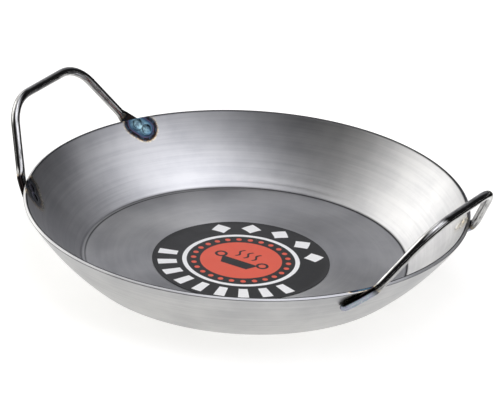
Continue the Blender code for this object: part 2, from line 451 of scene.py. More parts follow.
@dataclass(frozen=True)
class DrawnSteel:
    """Bright drawn wire with lengthwise lines, oxidised at its pressed feet, which also carry
    painted shade and a painted dark reflection.
    """

    dark: Colour = (0.085, 0.084, 0.082)
    light: Colour = (0.540, 0.536, 0.528)
    # The feet's dark mark: heat burn with painted shade, and a painted dark reflection on the upper
    # side.
    burnt: Colour = (0.012, 0.009, 0.008)
    roughness: float = 0.11
    drawing: tuple[float, float, float] = (150.0, 7.0, 7.0)
    smudges: float = 0.3
    scratches: float = 0.5
    ragged: float = 0.6
    rim_tint: float = 0.6
    rough_grain: float = 0.10
    rough_scale: float = 0.18

    def material(self) -> bpy.types.Material:
        """Build the finish.

        Returns:
            The material.
        """
        paint = Paint("drawn_steel", Roughness=self.roughness, Metallic=1.0)
        heat = paint.attribute(HEAT)
        drawn = paint.add("Mapping", {"Vector": paint.attribute(DRAW, "Vector"),
                                      "Scale": self.drawing})
        grain = paint.noise(drawn, 1.0, 4.0, 0.65)
        touch = paint.effect(handling, Size=60.0)
        tint = paint.effect(heat_tint, Heat=heat, Ragged=self.ragged)
        tone = grain * (1 - self.smudges) + touch["Smudge"] * self.smudges
        steel = paint.mix(paint.remap(tone, 0.34, 0.60), self.dark, self.light)
        steel = paint.mix(touch["Scratch"] * self.scratches, steel, self.light)
        mottle = paint.noise(paint.place, 420.0, 4.0, 0.6)
        pressed = paint.ramp(mottle, [
            (0.30, (0.120, 0.160, 0.220)), (0.45, (0.330, 0.320, 0.410)),
            (0.58, (0.240, 0.320, 0.350)), (0.72, (0.500, 0.470, 0.550))])
        steel = paint.mix(paint.remap(heat, 0.80, 1.15, 1.0, 0.0), steel, pressed)
        # Paints the feet's dark mark, mottled: heat burn and painted shade at the knee, painted
        # shade on the hidden side, a painted dark reflection on the upper side.
        burnt = paint.attribute(DARKENING_AND_SHADE) * paint.remap(mottle, 0.25, 0.40, 0.75, 1.0)
        steel = paint.mix(burnt, steel, self.burnt)
        edge = paint.remap(heat, 0.86, 0.98) * paint.remap(heat, 1.05, 1.25, 1.0, 0.0)
        return paint.put(
            Base_Color=paint.mix(edge * self.rim_tint, steel, tint["Colour"]),
            Roughness=grain * self.rough_grain + (self.roughness - 0.05)
            + tint["Scale"] * self.rough_scale,
            Normal=paint.bump(grain, 0.5, 0.06 * MM))


@dataclass(frozen=True)
class FusedSteel:
    """Weld metal: blued, grainy steel."""

    roughness: float = 0.45
    grain: float = 1500.0

    def material(self) -> bpy.types.Material:
        """Build the finish.

        Returns:
            The material.
        """
        paint = Paint("fused_steel", Roughness=self.roughness, Metallic=1.0)
        grain = paint.noise(paint.place, self.grain)
        colour = paint.ramp(grain, [(0.3, (0.05, 0.07, 0.11)), (0.7, (0.20, 0.22, 0.25))])
        return paint.put(Base_Color=colour, Normal=paint.bump(grain, 0.5, 0.08 * MM))


@dataclass(frozen=True)
class PanSign:
    """The little side view of a two-handled pan, with three wisps over it, in millimetres."""

    bowl_down: float = 5.0
    bowl_height: float = 8.4
    bowl_reach: float = 13.5
    bowl_slope: float = 0.45
    loop_out: float = 15.2
    loop_up: float = 0.8
    loop_radius: float = 3.2
    loop_line: float = 0.85
    wisp_gap: float = 3.0
    wisp_line: float = 0.75
    wisp_sway: float = 0.9
    wisp_wave: float = 0.75
    wisp_up: float = 8.6
    wisp_height: float = 10.0
    wisp_reach: float = 8.4

    def draw(self, across: Signal, up: Signal) -> Signal:
        """Draw the sign.

        Args:
            across: The place to the right of the label's middle.
            up: The place above it.

        Returns:
            1 on the sign and 0 beside it.
        """
        graph = across.graph
        wide = abs(across)
        bowl = (abs(up + self.bowl_down).under(self.bowl_height / 2)
                * (wide - (up * self.bowl_slope + self.bowl_reach)).under(0.0))
        reach = graph.length(wide - self.loop_out, up - self.loop_up)
        loop = abs(reach - self.loop_radius).under(self.loop_line)
        sway = graph.math("SINE", up * self.wisp_wave) * self.wisp_sway
        column = graph.math("PINGPONG", across + sway + self.wisp_gap, self.wisp_gap)
        wisps = ((self.wisp_gap - column).under(self.wisp_line)
                 * abs(up - self.wisp_up).under(self.wisp_height / 2)
                 * wide.under(self.wisp_reach))
        return graph.most(bowl, loop, wisps)


@dataclass(frozen=True)
class PrintedPaper:
    """The label's print: black field, white marks, a white ring, and a pan on a red disc."""

    centre: tuple[float, float] = (0.0013, -0.0060)
    ring: tuple[float, float] = (34.2, 37.0)
    disc: float = 25.8
    dot_circle: float = 29.9
    dot: float = 1.75
    dots: int = 26
    marks_circle: float = 46.6
    diamond: float = 6.4
    diamond_step: float = radians(24)
    diamonds: int = 5
    bar: tuple[float, float] = (3.1, 6.0)
    bar_step: float = radians(17)
    bars: int = 9
    rub: tuple[float, float] = (40.0, 55.5)
    black: Colour = (0.006, 0.006, 0.006)
    white: Colour = (0.97, 0.965, 0.95)
    red: Colour = (0.82, 0.115, 0.062)
    worn: Colour = (0.42, 0.41, 0.40)

    @staticmethod
    def sector(turn: Signal, start: float, step: float) -> tuple[Signal, Signal]:
        """Fold the circle into equal sectors.

        Args:
            turn: The angle round the label.
            start: The angle of sector 0's middle.
            step: The angle of one sector.

        Returns:
            The angle from the nearest sector's middle, and that sector's number.
        """
        wrapped = turn.graph.math("WRAP", turn - start, pi, -pi)
        index = turn.graph.math("ROUND", wrapped / step)
        return wrapped - index * step, index

    def marks(self, radius: Signal, turn: Signal) -> Signal:
        """Draw the white marks: diamonds over the ring and bars under it.

        Args:
            radius: The distance from the label's middle.
            turn: The angle round the label.

        Returns:
            1 on a mark and 0 beside it.
        """
        graph = radius.graph
        off = abs(radius - self.marks_circle)
        local, index = self.sector(turn, pi / 2, self.diamond_step)
        across = abs(local * self.marks_circle)
        diamonds = ((across / self.diamond + off / self.diamond).under(1.0, 0.03)
                    * graph.math("LESS_THAN", abs(index), self.diamonds / 2))
        local, index = self.sector(turn, -pi / 2, self.bar_step)
        across = abs(local * self.marks_circle)
        bars = (across.under(self.bar[0]) * off.under(self.bar[1])
                * graph.math("LESS_THAN", abs(index), self.bars / 2))
        return graph.most(diamonds, bars)

    def material(self) -> bpy.types.Material:
        """Build the finish.

        Returns:
            The material.
        """
        paint = Paint("printed_paper", Roughness=0.36, Metallic=0.0, Coat_Weight=0.05,
                      Coat_Roughness=0.30)
        middle = (-self.centre[0] / MM, -self.centre[1] / MM, 0.0)
        across, up, _ = paint.split(paint.add("Mapping", {
            "Vector": paint.place, "Location": middle, "Scale": (1 / MM, 1 / MM, 1 / MM)}))
        radius = paint.length(across, up)
        turn = paint.math("ARCTAN2", up, across)
        ring_line = sum(self.ring) / 2
        ring = abs(radius - ring_line).under(ring_line - self.ring[0])
        local, _ = self.sector(turn, 0.0, 2 * pi / self.dots)
        away = paint.length(local * self.dot_circle, radius - self.dot_circle)
        red = paint.most(radius.under(self.disc), away.under(self.dot))
        red = red * (1.0 - PanSign().draw(across, up))
        colour = paint.mix(paint.most(ring, self.marks(radius, turn)), self.black, self.white)
        colour = paint.mix(red, colour, self.red)
        worn = paint.remap(paint.noise(paint.place, 900.0, 4.0, 0.7), 0.66, 0.74)
        rubbed = worn * paint.remap(radius, *self.rub, 0.08, 0.35)
        cloudy = paint.noise(paint.place, 45.0)
        return paint.put(
            Base_Color=paint.mix(rubbed, colour, self.worn),
            Roughness=paint.remap(cloudy, 0.3, 0.7, 0.30, 0.46),
            Normal=paint.bump(paint.noise(paint.place, 2600.0), 0.15, 0.03 * MM))


@dataclass(frozen=True)
class Cloth:
    """A plain, dull, faintly grained stuff, for the table and the flag."""

    name: str
    dark: float
    light: float
    grain: float
    detail: float

    def material(self, **constants: object) -> bpy.types.Material:
        """Build the finish.

        Args:
            constants: Sockets of the shader that are the same all over.

        Returns:
            The material.
        """
        paint = Paint(self.name, Metallic=0.0, **constants)
        weave = paint.noise(paint.place, self.grain, self.detail)
        return paint.put(Base_Color=paint.ramp(weave, [(0.0, (self.dark,) * 3),
                                                       (1.0, (self.light,) * 3)]))


# ---------------------------------------------------------------- modelling by hand


def deselect() -> None:
    """Clear the selection, leave any edit mode and go back to picking vertices."""
    if bpy.context.object and bpy.context.object.mode != "OBJECT":
        bpy.ops.object.mode_set(mode="OBJECT")
    bpy.context.tool_settings.mesh_select_mode = (True, False, False)
    bpy.ops.object.select_all(action="DESELECT")


def start_piece(name: str, primitive: Callable, **sizes: object) -> bpy.types.Object:
    """Add a primitive and open it in edit mode, with all of it selected.

    Args:
        name: The piece's name.
        primitive: The operator that adds it.
        sizes: The operator's settings.

    Returns:
        The piece's object, at the origin.
    """
    deselect()
    primitive(**sizes)
    piece = bpy.context.object
    piece.name = name
    bpy.ops.object.transform_apply(location=True, rotation=True, scale=True)
    bpy.ops.object.mode_set(mode="EDIT")
    bpy.ops.mesh.select_all(action="SELECT")
    return piece


def extrude_to(step: Vector) -> None:
    """Extrude what is selected by a step."""
    bpy.ops.mesh.extrude_region_move(TRANSFORM_OT_translate={"value": step})


def close_up() -> None:
    """Merge doubles, turn every face outwards and leave edit mode."""
    bpy.ops.mesh.select_all(action="SELECT")
    bpy.ops.mesh.remove_doubles(threshold=MM / 1000)
    bpy.ops.mesh.normals_make_consistent(inside=False)
    bpy.ops.object.mode_set(mode="OBJECT")


def apply_modifier(piece: bpy.types.Object, kind: str, **settings: object) -> None:
    """Finish a piece with one modifier.

    Args:
        piece: The piece, in object mode.
        kind: The modifier's type.
        settings: Attributes of the modifier.
    """
    modifier = piece.modifiers.new(kind.lower(), kind)
    for name, value in settings.items():
        setattr(modifier, name, value)
    bpy.context.view_layer.objects.active = piece
    bpy.ops.object.modifier_apply(modifier=modifier.name)


def round_off(piece: bpy.types.Object, angle: float) -> None:
    """Shade a piece smooth, but for its sharp edges.

    Args:
        piece: The piece.
        angle: The degrees past which an edge is sharp.
    """
    deselect()
    piece.select_set(True)
    bpy.context.view_layer.objects.active = piece
    bpy.ops.object.shade_smooth_by_angle(angle=radians(angle))


def write_attribute(mesh: bpy.types.Mesh, name: str, values: list) -> None:
    """Store one value for each vertex.

    Args:
        mesh: The mesh.
        name: The attribute's name.
        values: A number for each vertex, or a vector for each.
    """
    if isinstance(values[0], tuple):
        layer = mesh.attributes.new(name, "FLOAT_VECTOR", "POINT")
        layer.data.foreach_set("vector", [part for value in values for part in value])
    else:
        mesh.attributes.new(name, "FLOAT", "POINT").data.foreach_set("value", values)


def dress(piece: bpy.types.Object, material: bpy.types.Material) -> None:
    """Give a piece one material."""
    piece.data.materials.clear()
    piece.data.materials.append(material)


def held(value: float, low: float = 0.0, high: float = 1.0) -> float:
    """Return a value held between two limits."""
    return min(max(value, low), high)


def bell(offset: float) -> float:
    """Return the height of a bell curve that is 1 in its middle."""
    return exp(-offset ** 2)


def folded(point: Vector) -> Vector:
    """Return a point, or its mirror image where it lies in front of the XZ plane."""
    return Vector((point.x, abs(point.y), point.z))


def put_in_scene(name: str, data: bpy.types.ID) -> bpy.types.Object:
    """Make an object of a mesh, a light or a camera, at the origin.

    Args:
        name: The object's name.
        data: What it shows.

    Returns:
        The object.
    """
    item = bpy.data.objects.new(name, data)
    bpy.context.scene.collection.objects.link(item)
    return item


@dataclass
class Wall:
    """The pan's sheet as a turned shape, with places measured round and down its wall."""

    rim: float = 0.140
    height: float = 0.0411
    heel: float = 0.1035
    sheet: float = 0.0025
    arc: float = 0.180
    crease: float = 0.0015

    def __post_init__(self) -> None:
        """Work out the centre of the wall's arc."""
        run = self.rim - self.heel
        chord = hypot(run, self.height)
        reach = sqrt(self.arc ** 2 - chord ** 2 / 4)
        self.centre = ((self.rim + self.heel) / 2 - reach * self.height / chord,
                       self.height / 2 + reach * run / chord)

    def angle_at(self, height: float, arc: float) -> float:
        """Return the arc's angle at a height, on the wall's arc or one concentric with it."""
        return asin((height - self.centre[1]) / arc)

    def at(self, angle: float, arc: float) -> tuple[float, float]:
        """Return (radius, height) at an angle of an arc."""
        return self.centre[0] + arc * cos(angle), self.centre[1] + arc * sin(angle)

    def place(self, around: float, down: float, out: float) -> Vector:
        """Return a point.

        Args:
            around: The angle round the rim from +X.
            down: The distance down the wall from the rim.
            out: The distance off the wall's outer face.

        Returns:
            The point.
        """
        angle = self.angle_at(self.height, self.arc) - down / self.arc
        radius, height = self.at(angle, self.arc + out)
        return Vector((radius * cos(around), radius * sin(around), height))

    def normal(self, around: float, down: float) -> Vector:
        """Return the direction straight out of the wall."""
        return (self.place(around, down, MM) - self.place(around, down, 0.0)).normalized()

    def measure(self, point: Vector) -> tuple[float, float, float]:
        """Measure a point against the wall.

        Args:
            point: The point.

        Returns:
            Its (around, down, out).
        """
        run, rise = hypot(point.x, point.y) - self.centre[0], point.z - self.centre[1]
        down = (self.angle_at(self.height, self.arc) - atan2(rise, run)) * self.arc
        return atan2(point.y, point.x), down, hypot(run, rise) - self.arc


@dataclass
class FootLine:
    """Where a pressed foot and its two spot welds lie on the wall."""

    wall: Wall
    knee_around: float = radians(24.6)
    knee_rise: float = 0.0023
    slope: float = radians(41)
    length: float = 0.0242
    thickness: float = 0.0034
    width: float = 0.0084
    gap: float = 0.0003
    welds: tuple[float, float] = (0.0075, 0.0149)
    skew: float = radians(0.8)

    def place(self, along: float) -> tuple[float, float]:
        """Return (around, down) of the foot's centreline, on the +Y side of +X."""
        around = self.knee_around + along * cos(self.slope) / self.wall.rim
        return around, along * sin(self.slope) - self.knee_rise

    def point(self, along: float) -> Vector:
        """Return a point of the foot's centreline."""
        return self.wall.place(*self.place(along), self.gap + self.thickness / 2)

    def directions(self, along: float) -> tuple[Vector, Vector, Vector]:
        """Return the foot's directions at a place, or at the knee for a place above it.

        Args:
            along: How far past the knee the place is.

        Returns:
            The directions out of the wall, along the foot and across it.
        """
        along = max(along, 0.0)
        normal = self.wall.normal(*self.place(along))
        run = (self.point(along + MM) - self.point(along)).normalized()
        return normal, run, normal.cross(run)

    def measure(self, point: Vector) -> float:
        """Return how far a point is past the knee, along the foot, or above it, negative.

        Args:
            point: A point on either foot of a handle that isn't turned.

        Returns:
            The distance.
        """
        around, down, _ = self.wall.measure(folded(point))
        run = (around - self.knee_around) * self.wall.rim
        return run * cos(self.slope) + (down + self.knee_rise) * sin(self.slope)

    def turn(self, side: Side) -> float:
        """Return the angle a handle is turned to from +X."""
        return -self.skew if side is Side.RIGHT else pi + self.skew


@dataclass(frozen=True)
class WeldPatch:
    """A foot's two spot welds, each as (around, down), and how their heat patch looks.

    The look is the heat in the patch's middle, and how much is added up to its edge.
    """

    upper: tuple[float, float]
    lower: tuple[float, float]
    look: tuple[float, float]


@dataclass(frozen=True)
class Ridge:
    """A ring that the spinning tool left in the inner wall, up from the crease."""

    up: float
    height: float
    width: float


@dataclass
class PanBody:
    """The pressed and spun sheet."""

    wall: Wall
    feet: FootLine
    segments: int = 288
    wall_steps: int = 52
    ease: float = 0.00045
    floor_rings: tuple[float, ...] = (0.0, 0.2, 0.4, 0.6, 0.8, 0.92)
    under_rings: tuple[float, ...] = (0.9, 0.7, 0.5, 0.3, 0.15, 0.0)
    rim_rings: tuple[float, ...] = (0.35, 0.5, 0.65)
    ridges: tuple[Ridge, ...] = (
        Ridge(0.0030, -0.00006, 0.0006), Ridge(0.0052, 0.00005, 0.0008),
        Ridge(0.0083, -0.00003, 0.0009), Ridge(0.0120, 0.00002, 0.0012))
    mark_cuts: tuple[tuple[float, int], ...] = ((0.0065, 2), (0.0045, 1))
    mark_reach: float = 0.0060
    mark_drop: float = 0.0012
    dent_radius: float = 0.0034
    dent_depth: float = 0.00022
    lip_height: float = 0.00016
    lip_place: float = 1.12
    lip_width: float = 0.16
    patch_radius: float = 0.0092
    patch_search: float = 0.050
    patch_squash: float = 1.04
    patch_span: tuple[float, float] = (-0.1, 0.8)
    outer_heat: tuple[float, float] = (0.92, 0.28)
    # The near-left patch's middle is set in the tint's near-black band: painted shade that stands
    # for a dark reflection.
    patch_looks: dict = field(default_factory=lambda: {
        (Side.LEFT, Foot.BACK): (0.66, 0.35), (Side.RIGHT, Foot.BACK): (1.04, 0.16)})
    # How wide the crease's dark line is, and how much fainter it is on the floor ring's side.
    soil_reach: float = 0.0008
    soil_wiped: float = 0.45
    ring_inset: float = 0.0018
    ring_width: float = 0.0010
    ring_depth: float = 0.00005
    ring_side: float = radians(184)
    ring_fade: float = 1.5
    # Painted shade on the rim's inner and outer eased corners, and how far each reaches.
    rim_soil: tuple[float, float] = (0.95, 0.5)
    rim_reach: tuple[float, float] = (1.05, 0.8)
    patches: list[WeldPatch] = field(default_factory=list)

    def ridge(self, up: float) -> float:
        """Return how far tool ridges stand off the inner wall, at a distance up from the crease."""
        return sum(ridge.height * bell((up - ridge.up) / ridge.width) for ridge in self.ridges)

    def fillet(self, floor: float, arc: float, size: float, steps: int) -> list[tuple[float, float]]:
        """Return the rounding between a floor line and a wall arc.

        Args:
            floor: The floor line's height.
            arc: The wall arc's radius.
            size: The rounding's radius.
            steps: Into how many pieces it is divided.

        Returns:
            Points from the floor up into the wall.
        """
        wall = self.wall
        height = floor + size
        radius = wall.centre[0] + sqrt((arc - size) ** 2 - (height - wall.centre[1]) ** 2)
        end = atan2(height - wall.centre[1], radius - wall.centre[0])
        angles = [-pi / 2 + (end + pi / 2) * step / steps for step in range(steps + 1)]
        return [(radius + size * cos(angle), height + size * sin(angle)) for angle in angles]

    def rim_face(self) -> list[tuple[float, float]]:
        """Draw the rim's square end with its two eased corners.

        Returns:
            Its points, from inside to outside.
        """
        wall = self.wall
        inner = wall.arc - wall.sheet
        rim = wall.angle_at(wall.height, wall.arc)
        points = []
        for turn in (pi / 6, pi / 3, pi / 2):
            points.append(wall.at(rim - self.ease * (1 - sin(turn)) / inner,
                                  inner + self.ease * (1 - cos(turn))))
        points += [wall.at(rim, inner + wall.sheet * share) for share in self.rim_rings]
        for turn in (pi / 2, pi / 3, pi / 6):
            points.append(wall.at(rim - self.ease * (1 - sin(turn)) / wall.arc,
                                  wall.arc - self.ease * (1 - cos(turn))))
        return points

    def profile(self) -> list[Vector]:
        """Draw the sheet's outline.

        Returns:
            Its points, from the middle of the floor round to the middle of the underside.
        """
        wall = self.wall
        inner = wall.arc - wall.sheet
        crease = self.fillet(wall.sheet, inner, wall.crease, 6)
        heel = self.fillet(0.0, wall.arc, wall.crease + wall.sheet, 8)
        rim = wall.angle_at(wall.height, wall.arc)
        points = [(crease[0][0] * share, wall.sheet) for share in self.floor_rings]
        points += [(crease[0][0] - self.ring_inset + self.ring_width * step,
                    wall.sheet - self.ring_depth * cos(pi / 2 * step))
                   for step in (-1.0, -0.5, 0.0, 0.5, 1.0)]
        points += crease
        start = wall.angle_at(crease[-1][1], inner)
        top = rim - self.ease / inner
        for step in range(1, self.wall_steps + 1):
            angle = start + (top - start) * step / self.wall_steps
            points.append(wall.at(angle, inner - self.ridge((angle - start) * inner)))
        points += self.rim_face()
        top = rim - self.ease / wall.arc
        end = wall.angle_at(heel[-1][1], wall.arc)
        for step in range(self.wall_steps):
            points.append(wall.at(top + (end - top) * step / self.wall_steps, wall.arc))
        points += heel[::-1]
        points += [(heel[0][0] * share, 0.0) for share in self.under_rings]
        return [Vector((radius, 0.0, height)) for radius, height in points]

    def build(self) -> bpy.types.Object:
        """Draw the outline point by point, spin it and finish the mesh.

        Returns:
            The piece's object.
        """
        outline = self.profile()
        piece = start_piece("pan_sheet", bpy.ops.mesh.primitive_plane_add, size=10 * MM,
                            location=(0, 0, 0))
        bpy.ops.mesh.merge(type="CENTER")
        bpy.ops.transform.translate(value=outline[0])
        for before, after in zip(outline, outline[1:]):
            extrude_to(after - before)
        bpy.ops.mesh.select_all(action="SELECT")
        bpy.ops.mesh.spin(steps=self.segments, angle=2 * pi, center=(0, 0, 0), axis=(0, 0, 1))
        close_up()
        self.patches = self.find_patches()
        self.refine(piece)
        self.press_marks(piece)
        self.mark_heat(piece)
        round_off(piece, 50)
        return piece

    def find_patches(self) -> list[WeldPatch]:
        """Work out the weld patch of each foot.

        Returns:
            The four patches.
        """
        found = []
        for side in Side:
            for foot in Foot:
                upper, lower = [(self.feet.turn(side) + around * foot.value, down)
                                for around, down in map(self.feet.place, self.feet.welds)]
                look = self.patch_looks.get((side, foot), (0.0, 1.0))
                found.append(WeldPatch(upper, lower, look))
        return found

    def apart(self, place: tuple[float, float], spot: tuple[float, float]) -> Vector:
        """Return the step on the wall from a spot to a place, both as (around, down)."""
        turn = (place[0] - spot[0] + pi) % (2 * pi) - pi
        return Vector((turn * self.wall.rim, place[1] - spot[1]))

    def survey(self, point: Vector) -> tuple[float, float, float, float, float]:
        """Measure a point against the wall and its welds.

        Args:
            point: The point.

        Returns:
            Its (around, down, out), its distance to the nearest spot weld, and its heat: how far
            through the nearest weld patch it is, from 0 in the middle to 1 at the edge.
        """
        around, down, out = self.wall.measure(point)
        near, heat = 1.0, FULL_HEAT
        if point.z > self.wall.height / 3:
            for patch in self.patches:
                first = self.apart((around, down - self.mark_drop), patch.upper)
                run = self.apart(patch.lower, patch.upper)
                if first.length > self.patch_search:
                    continue
                near = min(near, first.length, (first - run).length)
                share = held(first.dot(run) / run.length_squared, *self.patch_span)
                aside = first - run * share
                away = hypot(aside.x, aside.y * self.patch_squash) / self.patch_radius
                heat = min(heat, patch.look[0] + patch.look[1] * away)
        return around, down, out, near, heat

    def refine(self, piece: bpy.types.Object) -> None:
        """Divide the inner wall finely at the welds.

        Args:
            piece: The pan.
        """
        bpy.context.view_layer.objects.active = piece
        for reach, cuts in self.mark_cuts:
            bpy.ops.object.mode_set(mode="EDIT")
            bpy.ops.mesh.select_mode(type="FACE")
            bpy.ops.mesh.select_all(action="DESELECT")
            bpy.ops.object.mode_set(mode="OBJECT")
            for polygon in piece.data.polygons:
                _, down, out, near, _ = self.survey(polygon.center)
                inner = abs(out + self.wall.sheet) < 0.8 * MM and down > 0.6 * MM
                polygon.select = inner and near < reach
            bpy.ops.object.mode_set(mode="EDIT")
            bpy.ops.mesh.subdivide(number_cuts=cuts)
            bpy.ops.object.mode_set(mode="OBJECT")

    def press_marks(self, piece: bpy.types.Object) -> None:
        """Press the electrodes' round marks into the inner wall.

        Args:
            piece: The pan.
        """
        sheet = self.wall.sheet
        for vertex in piece.data.vertices:
            around, down, out, near, _ = self.survey(vertex.co)
            if near < self.mark_reach and abs(out + sheet) < 0.4 * MM and down > 0.7 * MM:
                vertex.co = self.wall.place(around, down, self.dent(near) - sheet)

    def dent(self, distance: float) -> float:
        """Return how deep an electrode mark is, with its raised lip, outwards positive.

        Args:
            distance: The distance from the mark's middle.

        Returns:
            The depth.
        """
        share = distance / self.dent_radius
        bowl = self.dent_depth * max(0.0, 1 - share ** 4)
        return bowl - self.lip_height * bell((share - self.lip_place) / self.lip_width)

    def soil_at(self, point: Vector, down: float, out: float) -> float:
        """Return how dark a place is made: a line along the crease, fainter on one side, a floor
        ring on that side, and painted shade on the rim's corners.

        Args:
            point: The place.
            down: How far it is down the wall.
            out: How far it is off the wall's outer face.

        Returns:
            The darkening, from 0 to 1.
        """
        sheet = self.wall.sheet
        inner = self.fillet(sheet, self.wall.arc - sheet, self.wall.crease, 2)
        radius = hypot(point.x, point.y)
        near = hypot(radius - inner[1][0], point.z - inner[1][1]) / self.soil_reach
        off_ring = abs(radius - inner[0][0] + self.ring_inset) / self.ring_width
        facing = max(0.0, cos(atan2(point.y, point.x) - self.ring_side)) ** self.ring_fade
        ring = facing * max(0.0, 1 - off_ring) * (point.z > sheet / 2)
        crease = (1.0 - self.soil_wiped * facing) * bell(near)
        # Painted shade on the rim's eased inner and outer corners.
        rim = [darkening_and_painted_shade * (away + abs(down) < self.ease * reach) for darkening_and_painted_shade, away, reach
               in zip(self.rim_soil, (abs(out + sheet), abs(out)), self.rim_reach)]
        return max(crease, ring, *rim)

    def mark_heat(self, piece: bpy.types.Object) -> None:
        """Store each vertex's heat and its darkening, which holds painted shade at the rim's
        corners.

        Args:
            piece: The pan.
        """
        heats, darkenings_and_shades = [], []
        for vertex in piece.data.vertices:
            _, down, out, _, heat = self.survey(vertex.co)
            darkenings_and_shades.append(self.soil_at(vertex.co, down, out))
            if out > -self.wall.sheet / 2:
                heat = self.outer_heat[0] + heat * self.outer_heat[1]
            heats.append(min(heat, FULL_HEAT))
        write_attribute(piece.data, HEAT, heats)
        write_attribute(piece.data, DARKENING_AND_SHADE, darkenings_and_shades)


@dataclass
class LoopHandle:
    """A loop of drawn wire with two pressed feet.

    Each field of the feet's dark mark, heat burn with painted shade and a painted dark reflection,
    holds where the mark starts and over how much it grows. In the first two these are distances past
    the knee, and in the others they are shares of half the foot.
    """

    feet: FootLine
    wire: float = 0.0055
    reach: float = 0.1538
    rise: float = 0.08089
    bar: float = 0.0708
    corner: float = 0.027
    knee: float = 0.010
    ramp: float = 0.005
    tip: float = 0.0042
    tip_turn: float = radians(84)
    sides: int = 40
    straight_steps: int = 10
    corner_steps: int = 20
    knee_steps: int = 8
    foot_steps: int = 34
    tip_steps: int = 12
    bulge: float = 1.45
    dent_radius: float = 0.0024
    dent_depth: float = 0.00030
    # The feet's dark mark: heat burn with painted shade at the knee, painted shade on the hidden
    # side against the wall, a painted dark reflection on the upper side.
    burn_knee: tuple[float, float] = (-0.0005, 0.003)
    burn_foot: tuple[float, float] = (-0.005, 0.004)
    burn_upper: tuple[float, float] = (0.80, 0.15)
    burn_inner: tuple[float, float] = (0.1, 0.4)
    burn_most: float = 0.9
    burn_end: float = -0.008
    foot_heat: tuple[float, float, float] = (0.70, 0.003, 0.012)
    loop_normal: tuple[float, float, float] = (0.944, 0.0, -0.330)
    line: list[Vector] = field(default_factory=list)

    def build(self) -> bpy.types.Object:
        """Model one handle along +X: a half is extruded and spun, then mirrored.

        Returns:
            The handle's object.
        """
        middle = Vector((self.reach, 0.0, self.rise))
        corner = Vector((self.reach, self.bar / 2, self.rise))
        knee = self.feet.point(0.0)
        piece = start_piece("handle_wire", bpy.ops.mesh.primitive_circle_add,
                            vertices=self.sides, radius=self.wire / 2, location=middle,
                            rotation=(pi / 2, 0.0, 0.0))
        ahead = (knee - corner).normalized()
        here = self.bend_at(middle, corner, ahead, self.corner, self.corner_steps)
        toe = (self.feet.point(2 * MM) - knee).normalized()
        here = self.bend_at(here, knee, toe, self.knee, self.knee_steps)
        self.draw_foot(here, knee)
        bpy.ops.mesh.edge_face_add()
        bpy.ops.object.mode_set(mode="OBJECT")
        apply_modifier(piece, "MIRROR", use_axis=(False, True, False), merge_threshold=MM / 100)
        bpy.ops.object.mode_set(mode="EDIT")
        close_up()
        self.press(piece)
        self.mark(piece)
        round_off(piece, 40)
        return piece

    def extrude_ring(self, here: Vector, there: Vector) -> Vector:
        """Extrude the ring from one station of the wire's centreline to the next.

        Args:
            here: The ring's centre.
            there: The next station.

        Returns:
            The next station, which the line now holds.
        """
        extrude_to(there - here)
        self.line.append(there)
        return there

    def bend_at(self, here: Vector, corner: Vector, ahead: Vector, radius: float,
                steps: int) -> Vector:
        """Run straight to a bend and spin the ring round it.

        Args:
            here: Where the ring's centre is.
            corner: Where the two straight lines cross.
            ahead: The direction after the bend.
            radius: The centreline's bend radius.
            steps: How many pieces the bend has.

        Returns:
            Where the ring's centre is after the bend.
        """
        back = (here - corner).normalized()
        half = back.angle(ahead) / 2
        start = corner + back * radius / tan(half)
        first = here
        for step in range(1, self.straight_steps + 1):
            here = self.extrude_ring(here, first.lerp(start, step / self.straight_steps))
        centre = corner + (back + ahead).normalized() * radius / sin(half)
        axis = (start - centre).cross(ahead).normalized()
        sweep = pi - 2 * half
        bpy.ops.mesh.spin(steps=steps, angle=-sweep, center=centre, axis=axis)
        for step in range(1, steps + 1):
            turn = Matrix.Rotation(sweep * step / steps, 3, axis)
            self.line.append(centre + turn @ (start - centre))
        return self.line[-1]

    def draw_foot(self, here: Vector, knee: Vector) -> None:
        """Extrude the foot along the wall and round its tip.

        Args:
            here: Where the ring's centre is.
            knee: The point where the foot starts.
        """
        start = (here - knee).length
        straight = self.feet.length - self.tip
        for step in range(1, self.foot_steps + 1):
            along = start + (straight - start) * step / self.foot_steps
            here = self.extrude_ring(here, self.feet.point(along))
        left = 1.0
        for step in range(1, self.tip_steps + 1):
            angle = self.tip_turn * step / self.tip_steps
            along = straight + self.tip * sin(angle) / sin(self.tip_turn)
            here = self.extrude_ring(here, self.feet.point(along))
            bpy.ops.transform.resize(value=(cos(angle) / left,) * 3, center_override=here)
            left = cos(angle)

    def station(self, spot: Vector) -> int:
        """Return the number of the centreline's station that is nearest to a point."""
        return min(range(len(self.line)), key=lambda place: (self.line[place] - spot).length_squared)

    def press(self, piece: bpy.types.Object) -> None:
        """Press both ends of the wire flat against the wall, with electrode marks outside.

        Args:
            piece: The handle.
        """
        feet = self.feet
        half = feet.thickness / 2
        for vertex in piece.data.vertices:
            side = 1.0 if vertex.co.y > 0 else -1.0
            spot = folded(vertex.co)
            centre = self.line[self.station(spot)]
            along = feet.measure(centre)
            share = held(1 + along / self.ramp)
            share = share * share * (3 - 2 * share)
            if share == 0.0:
                continue
            normal, _, across = feet.directions(along)
            height, width = (spot - centre).dot(normal), (spot - centre).dot(across)
            slant = held(height / half, -self.bulge, self.bulge)
            flat = half * sin(slant * pi / 2 / self.bulge)
            spot += normal * (flat - height) * share
            spot += across * width * (feet.width / self.wire - 1) * share
            if height > 0:
                past, width = feet.measure(spot), (spot - centre).dot(across)
                for weld in feet.welds:
                    near = hypot(past - weld, width) / self.dent_radius
                    spot -= normal * self.dent_depth * max(0.0, 1 - near ** 4)
            vertex.co = (spot.x, spot.y * side, spot.z)

